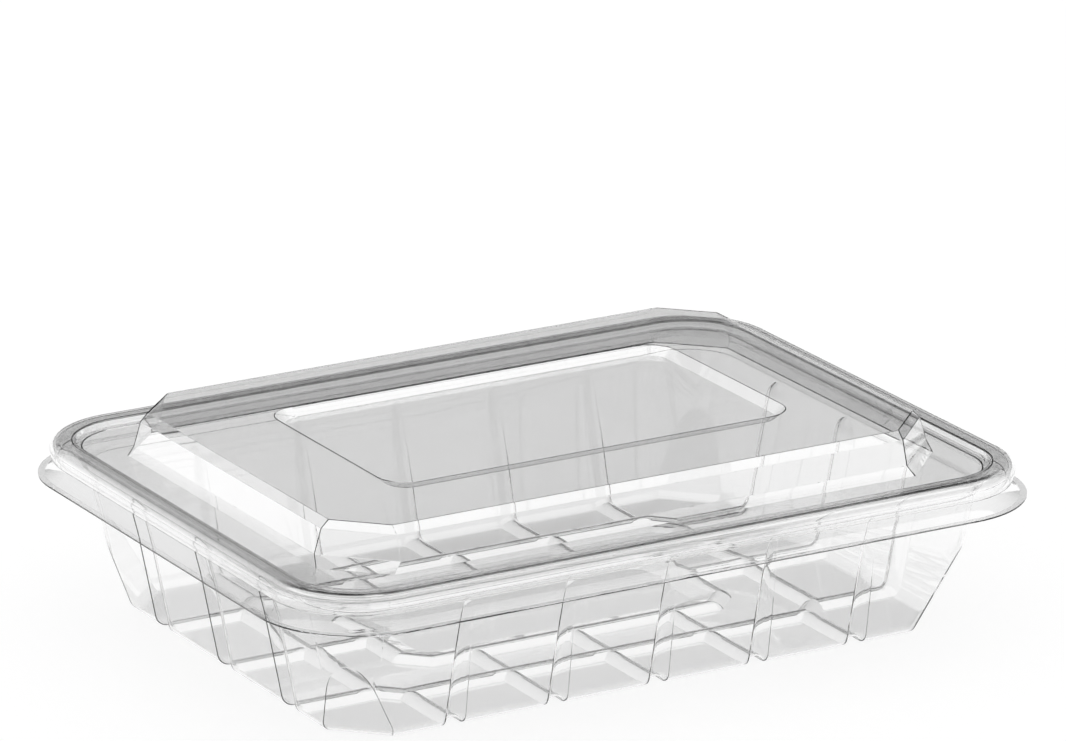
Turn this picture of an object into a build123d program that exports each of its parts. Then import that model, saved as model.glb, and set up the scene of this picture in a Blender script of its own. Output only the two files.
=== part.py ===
from build123d import *
from math import asin, cos, radians, sin, sqrt
import os

# A clear food container in two thermoformed pieces: a ribbed tray and a domed lid that lifts off.
# Every level of both pieces is a rounded rectangle about the same four corner centres, so a
# section is drawn once, with r as the distance out from a corner centre and z as the height,
# and is carried round the sides and corners.

# Overall sizes, in millimetres. The floor of the tray rests at z = 0.
length = 240.0
width = 186.5
lipCorner = 30.1
lipHeight = 39.35

# Sheet and fits
traySheet = 0.45
lidSheet = 0.4
landGap = 0.05
plugGap = 0.3
snapGap = 0.12

# Levels, as rises above the tray's lip, and the dome's own rises above the ledge
cellRise = 0.8
shoulderRise = 2.15
neckRise = 4.25
lidEdgeRise = 4.05
ledgeRise = 7.9
landRise = 9.6
creaseRise = 3.1
domeRise = 12.4

# Rim, as distances in from the edge of the lip
lipWidth = 1.95
beadInset = 3.4
lidEdgeInset = 4.1
neckInset = 5.35
landInset = 10.6
ledgeInset = 11.3
shoulderInset = 12.9
cellInset = 14.47
plateInset = 18.1
beadRadius = 2.7
flareDip = 0.4
shoulderStep = 0.8
shoulderLean = 0.65
rimFillet = 0.7

# Lower wall of the tray
wallDraft = 0.2
floorFillet = 4.0
facetReach = 7.42
facetSlope = 0.513

# Grooves in the walls and ribs on the floor
longGroovePitch = 32.2
shortGroovePitch = 37.6
grooveGap = 0.8
ribRadius = 3.64
ringHeight = 2.0
spokeHeight = 1.85
longGrooveFoot = 1.9
longGrooveHead = 0.25
shortGrooveRadius = 5.0
shortGrooveDepth = 2.0
ringInsetX = 26.0
ringInsetY = 27.3
ringStep = 19.6
ringCut = 6.5
basinRun = 7.4
basinDrop = 0.15
basinCorner = 4.5

# Dome of the lid, as distances in from the lip's edge and from the edge of its own top
domeInsetX = 26.3
domeInsetY = 27.15
domeCut = 12.85
bevel = 2.3
creaseOut = 2.2
creaseCut = 17.3
footOut = 0.8
footCut = 15.4
panelInsetX = 28.8
panelInsetY = 28.3
panelCorner = 9.0
panelDepth = 2.4
panelRun = 2.9

halfX = length / 2 - lipCorner
halfY = width / 2 - lipCorner
cellTop = lipHeight + cellRise
neckHeight = lipHeight + neckRise
ledgeHeight = lipHeight + ledgeRise
landHeight = lipHeight + landRise
domeHeight = ledgeHeight + domeRise
shoulderOffset = lipCorner - shoulderInset
neckOffset = lipCorner - neckInset
ledgeOffset = lipCorner - ledgeInset
landInner = lipCorner - landInset
seatTop = ledgeHeight - lidSheet - plugGap
footOffset = lipCorner - cellInset - wallDraft * cellTop
slant = sqrt(1 + wallDraft ** 2)
corners = [(halfX, halfY), (-halfX, halfY), (-halfX, -halfY), (halfX, -halfY)]
outward = [(1, 0), (0, 1), (-1, 0), (0, -1)]


# The upright plane at a station, with r running out along its X axis and z up along its Y axis
def sectionPlane(x, y, out):
    return Plane(origin=(x, y, 0), x_dir=(*out, 0), z_dir=(out[1], -out[0], 0))


# Carries a section round the four sides and the four corners
def carryRound(section):
    solid = None
    for quarter, out in enumerate(outward):
        along = (-out[1], out[0], 0)
        span = 2 * (halfY if quarter % 2 == 0 else halfX)
        endX, endY = corners[quarter]
        sidePlane = sectionPlane(*corners[quarter - 1], out)
        cornerPlane = sectionPlane(endX, endY, out)
        side = extrude(sidePlane * section, amount=span, dir=along)
        corner = revolve(cornerPlane * section, Axis((endX, endY, 0), (0, 0, 1)), 90)
        solid = side if solid is None else solid + side
        solid = solid + corner
    return solid


# A section that starts at the corner centres, with the block between the centres filled in
def carryFull(section, low, high):
    block = Box(2 * halfX, 2 * halfY, high - low, align=(Align.CENTER, Align.CENTER, Align.MIN))
    return carryRound(section) + Pos(0, 0, low) * block


def lowerWall(z):
    return footOffset + wallDraft * z


# The tray's body below the cell tops, drawn in from the outer skin by the given depth. A flat
# facet is cut across each corner before the edge of the floor is rounded.
def lowerBody(inset, top):
    foot = lowerWall(inset) - inset * slant
    head = lowerWall(top) - inset * slant
    outline = make_face(Polyline((0, inset), (foot, inset), (head, top), (0, top), close=True))
    body = carryFull(outline, inset, top)
    for centreX, centreY in corners:
        towardX = 1 if centreX > 0 else -1
        towardY = 1 if centreY > 0 else -1
        run = (footOffset - facetReach) / sqrt(2)
        normal = Vector(towardX / sqrt(2), towardY / sqrt(2), -facetSlope).normalized()
        start = Vector(centreX + towardX * run, centreY + towardY * run, 0) - normal * inset
        outside = Plane(origin=start, z_dir=normal)
        body -= outside * Box(120, 120, 40, align=(Align.CENTER, Align.CENTER, Align.MIN))
    heel = body.faces().sort_by(Axis.Z)[0].edges()
    return fillet(heel, floorFillet - inset)


# A round-nosed bar through the given points, used to press a rib or a groove
def bar(points, radius):
    solid = None
    for start, end in zip(points[:-1], points[1:]):
        run = Vector(end) - Vector(start)
        piece = Plane(origin=start, z_dir=run) * extrude(Circle(radius), run.length)
        solid = piece if solid is None else solid + piece
        solid = solid + Pos(*end) * Sphere(radius)
    return solid + Pos(*points[0]) * Sphere(radius)


# The floor bar that turns up into a wall groove: place is the station on the line of the corner
# centres, reach is how far the rib runs in from there, and depths are measured from the outer skin
def wallBar(place, out, reach, radius, footDepth, headDepth, grow):
    floorAxis = spokeHeight - radius
    footAxis = radius - footDepth
    headAxis = radius - headDepth
    topZ = cellTop - grooveGap - sqrt(radius ** 2 - headAxis ** 2)
    headR = lowerWall(topZ) + headAxis * slant
    footR = lowerWall(floorAxis) + footAxis * slant
    path = FilletPolyline((-reach, floorAxis), (footR, floorAxis), (headR, topZ), radius=floorFillet + footAxis)
    route = sectionPlane(*place, out) * path
    start = route @ 0
    end = route @ 1
    profile = Plane(origin=start, z_dir=route % 0) * Circle(radius + grow)
    return sweep(profile, route) + Pos(*end) * Sphere(radius + grow)


def cutRing(x, y, cut, z):
    return [(x, y - cut, z), (x - cut, y, z), (cut - x, y, z), (-x, y - cut, z),
            (-x, cut - y, z), (cut - x, -y, z), (x - cut, -y, z), (x, cut - y, z), (x, y - cut, z)]


# The wedge between the inner ring and the flat basin in the middle of the floor, raised by lift.
# Its corners are limited by the half width that the ring leaves.
def basinWedge(lift):
    crestX = halfX + footOffset - ringInsetX - ringStep
    crestY = halfY + footOffset - ringInsetY - ringStep
    top = ringHeight - basinDrop
    below = 0.2
    run = basinRun * (top + below) / top
    rimCorner = min(basinCorner + basinRun, 0.9 * crestY)
    footCorner = min(basinCorner + basinRun - run, 0.9 * (crestY - run))
    rim = RectangleRounded(2 * crestX, 2 * crestY, rimCorner)
    foot = RectangleRounded(2 * (crestX - run), 2 * (crestY - run), footCorner)
    basin = loft([Pos(0, 0, lift - below) * foot, Pos(0, 0, lift + top) * rim], ruled=True)
    return Pos(0, 0, lift - below) * extrude(rim, amount=top + below) - basin


# Every bar that presses the tray from below and outside, grown by the given amount
def pressBars(grow):
    floorX = halfX + footOffset
    floorY = halfY + footOffset
    ringX = floorX - ringInsetX
    ringY = floorY - ringInsetY
    innerX = ringX - ringStep
    innerY = ringY - ringStep
    axis = ringHeight - ribRadius
    bars = [bar(cutRing(ringX, ringY, ringCut, axis), ribRadius + grow),
            bar(cutRing(innerX, innerY, ringCut, axis), ribRadius + grow),
            basinWedge(grow)]
    for out in outward:
        if out[0] == 0:
            for step in (-2, -1, 0, 1, 2):
                meet = ringY if abs(step) == 2 else innerY
                place = (step * longGroovePitch, out[1] * halfY)
                bars.append(wallBar(place, out, halfY - meet, ribRadius, longGrooveFoot,
                                    longGrooveHead, grow))
        else:
            for step in (-1, 0, 1):
                meet = innerX if step == 0 else ringX
                place = (out[0] * halfX, step * shortGroovePitch)
                bars.append(wallBar(place, out, halfX - meet, shortGrooveRadius,
                                    shortGrooveDepth, shortGrooveDepth, grow))
    return bars


def thicken(line, sheet):
    return make_face(line.offset_2d(sheet, side=Side.RIGHT))


def trayRim():
    thin = traySheet
    riserFoot = ledgeOffset + lidSheet + plugGap
    riserHead = landInner + lidSheet + plugGap
    landTop = landHeight - lidSheet - landGap
    hook = lipCorner - lidEdgeInset - lidSheet - snapGap
    joinR = lowerWall(cellTop) - thin * slant
    lipStart = lipCorner - lipWidth
    lower = Vector(joinR, cellTop)
    dive = Vector(lowerWall(cellTop - 1) - thin * slant, cellTop - 1)
    flareMid = Vector((neckOffset + lipStart) / 2 - flareDip, (neckHeight + lipHeight) / 2 - flareDip)
    wall = FilletPolyline(dive, lower + Vector(wallDraft, 1) * shoulderStep,
                          (shoulderOffset - thin, lipHeight + shoulderRise),
                          (shoulderOffset - thin + shoulderLean, seatTop),
                          (riserFoot, seatTop), (riserHead, landTop),
                          (hook, landTop), (hook, landTop - beadRadius),
                          (neckOffset, neckHeight),
                          radius=[rimFillet, rimFillet, 0, 0, 0, beadRadius - lidSheet, 0])
    flare = ThreePointArc((neckOffset, neckHeight), flareMid, (lipStart, lipHeight))
    lip = Line((lipStart, lipHeight), (lipCorner, lipHeight))
    line = Wire([*wall.edges(), *flare.edges(), *lip.edges()])
    band = thicken(line, thin)
    band -= Pos(lower.X, cellTop - 5) * Rectangle(20, 10)
    return carryRound(band)


def makeTray():
    low = lowerBody(0, cellTop)
    for press in pressBars(0):
        low -= press
    hollow = lowerBody(traySheet, cellTop + 1)
    for press in pressBars(traySheet):
        hollow -= press
    return (low - hollow) + trayRim()


def octagon(x, y, cut, z):
    points = [point[:2] for point in cutRing(x, y, cut, z)[:-1]]
    return Pos(0, 0, z) * make_face(Polyline(*points, close=True))


# The dome as a solid, drawn in from its outer skin by the given depth
def dome(inset, low):
    domeTopX = length / 2 - domeInsetX
    domeTopY = width / 2 - domeInsetY
    creaseHeight = ledgeHeight + creaseRise
    creaseDrop = domeHeight - bevel - creaseHeight
    lean = sqrt(1 + (creaseOut / creaseDrop) ** 2)
    side = inset * lean
    topX = domeTopX - inset
    topY = domeTopY - inset
    bevelX = domeTopX + bevel - side
    bevelY = domeTopY + bevel - side
    creaseX = domeTopX + bevel + creaseOut - side
    creaseY = domeTopY + bevel + creaseOut - side
    footX = creaseX + footOut
    footY = creaseY + footOut
    nip = inset * 0.6
    top = octagon(topX, topY, domeCut - nip, domeHeight - inset)
    edge = octagon(bevelX, bevelY, domeCut + bevel - nip, domeHeight - bevel - inset * 0.4)
    crease = octagon(creaseX, creaseY, creaseCut - nip, creaseHeight)
    foot = octagon(footX, footY, footCut - nip, low)
    solid = loft([foot, crease], ruled=True)
    solid += loft([crease, edge], ruled=True)
    solid += loft([edge, top], ruled=True)
    return solid


# The stacking panel sunk into the top of the dome. Its mouth, sloping wall and floor are moved
# down by sink and out by grow, which makes the underside from the same lines as the top.
def stackPanel(sink, grow):
    mouthX = length / 2 - domeInsetX - panelInsetX + grow
    mouthY = width / 2 - domeInsetY - panelInsetY + grow
    over = 0.5
    flare = panelRun * (1 + over / panelDepth)
    level = domeHeight + over - sink
    mouth = RectangleRounded(2 * (mouthX + flare - panelRun), 2 * (mouthY + flare - panelRun),
                             panelCorner + flare - panelRun)
    base = RectangleRounded(2 * (mouthX - panelRun), 2 * (mouthY - panelRun), panelCorner - panelRun)
    return loft([Pos(0, 0, domeHeight - sink - panelDepth) * base, Pos(0, 0, level) * mouth], ruled=True)


def lidRim():
    beadOffset = lipCorner - beadInset
    lidEdgeOffset = lipCorner - lidEdgeInset
    lidEdgeHeight = lipHeight + lidEdgeRise
    plateOffset = lipCorner - plateInset
    beadHeight = landHeight - beadRadius
    diagonal = beadRadius / sqrt(2)
    drop = beadHeight - lidEdgeHeight
    inward = beadOffset - lidEdgeOffset
    tuckRadius = (drop ** 2 + inward ** 2) / (2 * inward)
    tuckTurn = asin(drop / tuckRadius)
    tuckCentre = beadOffset - tuckRadius
    beadCentre = beadOffset - beadRadius
    wall = FilletPolyline((plateOffset, ledgeHeight), (ledgeOffset, ledgeHeight),
                          (landInner, landHeight), (beadCentre, landHeight), radius=rimFillet)
    bead = ThreePointArc((beadCentre, landHeight), (beadCentre + diagonal, beadHeight + diagonal),
                         (beadOffset, beadHeight))
    tuck = ThreePointArc((beadOffset, beadHeight),
                         (tuckCentre + tuckRadius * cos(tuckTurn / 2),
                          beadHeight - tuckRadius * sin(tuckTurn / 2)),
                         (lidEdgeOffset, lidEdgeHeight))
    line = Wire([*wall.edges(), *bead.edges(), *tuck.edges()])
    return carryRound(thicken(line, lidSheet))


def makeLid():
    thin = lidSheet
    plateOffset = lipCorner - plateInset
    plate = RectangleRounded(2 * (halfX + plateOffset), 2 * (halfY + plateOffset), plateOffset)
    shell = lidRim() + Pos(0, 0, ledgeHeight) * extrude(plate, amount=-thin)
    shell += dome(0, ledgeHeight - thin) - stackPanel(0, 0)
    return shell - (dome(thin, ledgeHeight - 2 * thin) - stackPanel(thin, thin * 0.5))


os.makedirs("parts", exist_ok=True)
for name, piece in {"base_tray": makeTray(), "lid": makeLid()}.items():
    solids = piece.solids()
    print(name, len(solids), "solid", round(piece.volume), "mm3", piece.is_valid)
    export_step(solids[0] if len(solids) == 1 else piece, "parts/" + name + ".step")
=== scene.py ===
from math import cos, pi, radians, sin, tan

import bpy
from mathutils import Matrix, Vector

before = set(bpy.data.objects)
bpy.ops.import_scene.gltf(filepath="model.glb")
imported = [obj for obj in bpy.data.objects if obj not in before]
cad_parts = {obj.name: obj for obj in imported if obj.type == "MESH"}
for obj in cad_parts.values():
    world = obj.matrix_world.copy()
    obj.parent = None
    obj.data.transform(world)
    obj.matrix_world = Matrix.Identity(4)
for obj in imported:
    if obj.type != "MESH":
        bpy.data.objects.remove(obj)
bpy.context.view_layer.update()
scene = bpy.context.scene
mmPerMetre = 1000


# sRGB hex to the linear values that shader sockets take
def linearColour(hexText, alpha=1.0):
    channels = []
    for start in (0, 2, 4):
        value = int(hexText[start:start + 2], 16) / 255
        channels.append(value / 12.92 if value <= 0.04045 else ((value + 0.055) / 1.055) ** 2.4)
    return (*channels, alpha)


# Adds a node, sets its properties and sockets, and links the sockets given as (node, output).
# A socket goes by its name, or by i and its number where several share one name.
def addNode(tree, kind, settings=None, **sockets):
    node = tree.nodes.new(kind)
    for name, value in (settings or {}).items():
        setattr(node, name, value)
    for name, value in sockets.items():
        key = int(name[1:]) if name[0] == "i" and name[1:].isdigit() else name.replace("_", " ")
        if isinstance(value, tuple) and value and isinstance(value[0], bpy.types.Node):
            tree.links.new(value[0].outputs[value[1]], node.inputs[key])
        else:
            node.inputs[key].default_value = value
    return node


def emptyMaterial(name):
    material = bpy.data.materials.new(name)
    material.use_nodes = True
    material.node_tree.nodes.clear()
    return material


# Camera at the photograph's viewing angle. Its lengths are metres in the container's own frame,
# apart from the sensor's.
cameraSettings = {
    "turn": -29.905,        # degrees round from straight in front
    "rise": 17.883,         # degrees above the floor
    "roll": -0.077,         # degrees
    "distance": 2.2463,
    "acrossOffset": 0.000696,
    "upOffset": 0.068639,
    "frameDrop": 0.00035,   # the fitted frame lies this far below the tray's floor
    "focalPixels": 7917.1,
    "imageWidth": 1066,
    "sensor": 36.0,         # millimetres
}


def makeCamera(settings):
    turn = radians(settings["turn"])
    rise = radians(settings["rise"])
    back = Vector((sin(turn) * cos(rise), -cos(turn) * cos(rise), sin(rise)))
    right = Vector((cos(turn), sin(turn), 0))
    up = back.cross(right)
    roll = radians(settings["roll"])
    rolledRight = right * cos(roll) + up * sin(roll)
    rolledUp = up * cos(roll) - right * sin(roll)
    place = back * settings["distance"] + rolledRight * settings["acrossOffset"]
    place += rolledUp * settings["upOffset"]
    place.z -= settings["frameDrop"]
    data = bpy.data.cameras.new("photoCamera")
    data.sensor_width = settings["sensor"]
    data.lens = settings["focalPixels"] / settings["imageWidth"] * settings["sensor"]
    camera = bpy.data.objects.new("photoCamera", data)
    axes = Matrix((rolledRight, rolledUp, back)).transposed().to_4x4()
    camera.matrix_world = Matrix.Translation(place) @ axes
    scene.collection.objects.link(camera)
    scene.camera = camera


makeCamera(cameraSettings)
print("camera placed")


# Studio: a white surround, a white table, and black felt out of the camera's sight. One band of
# felt stands low round the table, and a small disc hangs overhead. Near-level clear surfaces mirror
# the band when seen from the side and the disc when seen from above, which makes them grey.
# Lengths are metres.
studioSettings = {
    "skyColour": "FFFFFF",
    "skyStrength": 1.0,
    "feltColour": "0A0A0A",
    "feltSides": 96,        # flat sides that make up the band and the disc's edge
    "feltDistance": 8.0,
    "feltLow": 5.0,         # degrees above the table where the band starts
    "feltHigh": 44.0,       # and where it ends
    "discRadius": 1.1,
    "discHeight": 8.0,
    "tableColour": "6A6A6A",
    "tableGlow": 0.87,      # lifts the table to near white
    "tableSize": 30.0,
    "tableDrop": 0.0004,    # keeps the table's face clear of the tray's underside
}


def makeWorld(settings):
    world = bpy.data.worlds.new("whiteStudio")
    world.use_nodes = True
    scene.world = world
    tree = world.node_tree
    tree.nodes.clear()
    white = addNode(tree, "ShaderNodeBackground", Color=linearColour(settings["skyColour"]),
                    Strength=settings["skyStrength"])
    addNode(tree, "ShaderNodeOutputWorld", Surface=(white, 0))


# Black studio felt: it gives back next to nothing
def blackStudioFelt(settings):
    material = emptyMaterial("blackStudioFelt")
    tree = material.node_tree
    felt = addNode(tree, "ShaderNodeBsdfDiffuse", Color=linearColour(settings["feltColour"]))
    addNode(tree, "ShaderNodeOutputMaterial", Surface=(felt, 0))
    return material


# The felt shows only in mirrored light and through the clear sheet
def hangFelt(name, points, faces, settings):
    mesh = bpy.data.meshes.new(name)
    mesh.from_pydata(points, [], faces)
    felt = bpy.data.objects.new(name, mesh)
    felt.data.materials.append(blackStudioFelt(settings))
    scene.collection.objects.link(felt)
    felt.visible_camera = False
    felt.visible_diffuse = False
    felt.visible_shadow = False


def circlePoints(radius, height, count):
    turns = [2 * pi * step / count for step in range(count)]
    return [(radius * cos(turn), radius * sin(turn), height) for turn in turns]


def makeFelt(settings):
    count = settings["feltSides"]
    reach = settings["feltDistance"]
    low = circlePoints(reach, reach * tan(radians(settings["feltLow"])), count)
    high = circlePoints(reach, reach * tan(radians(settings["feltHigh"])), count)
    band = [(step, (step + 1) % count, count + (step + 1) % count, count + step)
            for step in range(count)]
    hangFelt("feltSurround", low + high, band, settings)
    disc = circlePoints(settings["discRadius"], settings["discHeight"], count)
    hangFelt("feltDisc", disc, [tuple(range(count))], settings)


# White matt laminate table top: it stays near white and keeps the container's soft shadow
def whiteTableLaminate(settings):
    material = emptyMaterial("whiteTableLaminate")
    tree = material.node_tree
    matt = addNode(tree, "ShaderNodeBsdfDiffuse", Color=linearColour(settings["tableColour"]))
    glow = addNode(tree, "ShaderNodeEmission", Color=linearColour(settings["skyColour"]),
                   Strength=settings["tableGlow"])
    both = addNode(tree, "ShaderNodeAddShader", i0=(matt, 0), i1=(glow, 0))
    addNode(tree, "ShaderNodeOutputMaterial", Surface=(both, 0))
    return material


def makeTable(settings):
    half = settings["tableSize"] / 2
    corners = [(-half, -half, 0), (half, -half, 0), (half, half, 0), (-half, half, 0)]
    mesh = bpy.data.meshes.new("table")
    mesh.from_pydata(corners, [], [(0, 1, 2, 3)])
    table = bpy.data.objects.new("table", mesh)
    table.location.z = -settings["tableDrop"]
    table.data.materials.append(whiteTableLaminate(settings))
    scene.collection.objects.link(table)


makeWorld(studioSettings)
makeTable(studioSettings)
makeFelt(studioSettings)
print("studio made")


# Clear thermoformed PET: formed from extruded sheet, so it is glassy, with sharp reflections and
# a refractive index near 1.57. The eye catches a slow ripple left by the rollers, and fine upright
# lines where the walls were drawn thin. Lengths are millimetres.
petSettings = {
    "thinColour": "FFFFFF",     # in the ripple's hollows
    "thickColour": "FDFDFD",    # and on its crests
    "ior": 1.57,
    "roughness": 0.0,
    "rippleLength": 12.0,
    "rippleHeight": 0.012,
    "drawSpacing": 1.8,         # across the draw lines, and then along them
    "drawLength": 45.0,
    "drawHeight": 0.0012,
    "shadowVeil": "F4F4F4",     # what each skin lets through on its way to the table
}


def clearThermoformedPet(name, settings):
    material = emptyMaterial(name)
    tree = material.node_tree
    place = addNode(tree, "ShaderNodeTexCoord")
    ripple = addNode(tree, "ShaderNodeTexNoise", Vector=(place, "Object"),
                     Scale=mmPerMetre / settings["rippleLength"], Detail=0.0)
    across = mmPerMetre / settings["drawSpacing"]
    down = mmPerMetre / settings["drawLength"]
    stretched = addNode(tree, "ShaderNodeVectorMath", {"operation": "MULTIPLY"},
                        i0=(place, "Object"), i1=Vector((across, across, down)))
    drawn = addNode(tree, "ShaderNodeTexNoise", Vector=(stretched, 0), Scale=1.0, Detail=0.0)
    relief = addNode(tree, "ShaderNodeMath", {"operation": "MULTIPLY_ADD"}, i0=(drawn, 0),
                     i1=settings["drawHeight"] / settings["rippleHeight"], i2=(ripple, 0))
    surface = addNode(tree, "ShaderNodeBump", Height=(relief, 0), Strength=1.0,
                      Distance=settings["rippleHeight"] / mmPerMetre)
    tint = addNode(tree, "ShaderNodeMix", {"data_type": "RGBA"}, i0=(ripple, 0),
                   i6=linearColour(settings["thinColour"]),
                   i7=linearColour(settings["thickColour"]))
    sheet = addNode(tree, "ShaderNodeBsdfPrincipled", Base_Color=(tint, 2), IOR=settings["ior"],
                    Roughness=settings["roughness"], Transmission_Weight=1.0, Normal=(surface, 0))
    lightPath = addNode(tree, "ShaderNodeLightPath")
    veil = addNode(tree, "ShaderNodeBsdfTransparent", Color=linearColour(settings["shadowVeil"]))
    both = addNode(tree, "ShaderNodeMixShader", Fac=(lightPath, "Is Shadow Ray"),
                   i1=(sheet, 0), i2=(veil, 0))
    addNode(tree, "ShaderNodeOutputMaterial", Surface=(both, 0))
    return material


for nodeName in ("base_tray", "lid"):
    clear = clearThermoformedPet("clearPet_" + nodeName, petSettings)
    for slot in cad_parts[nodeName].material_slots:
        slot.material = clear
print("clear sheet assigned")


# Light crosses many skins at the rim: with few bounces the rim goes dark, and with very many its
# edge lines fade.
bounceSettings = {
    "bounces": 15,
    "seeThrough": 40,       # skins that a shadow ray may cross
}


def setBounces(settings):
    scene.cycles.max_bounces = settings["bounces"]
    scene.cycles.transmission_bounces = settings["bounces"]
    scene.cycles.glossy_bounces = settings["bounces"]
    scene.cycles.transparent_max_bounces = settings["seeThrough"]


setBounces(bounceSettings)
print("light bounces set")

scene.view_settings.view_transform = "Standard"
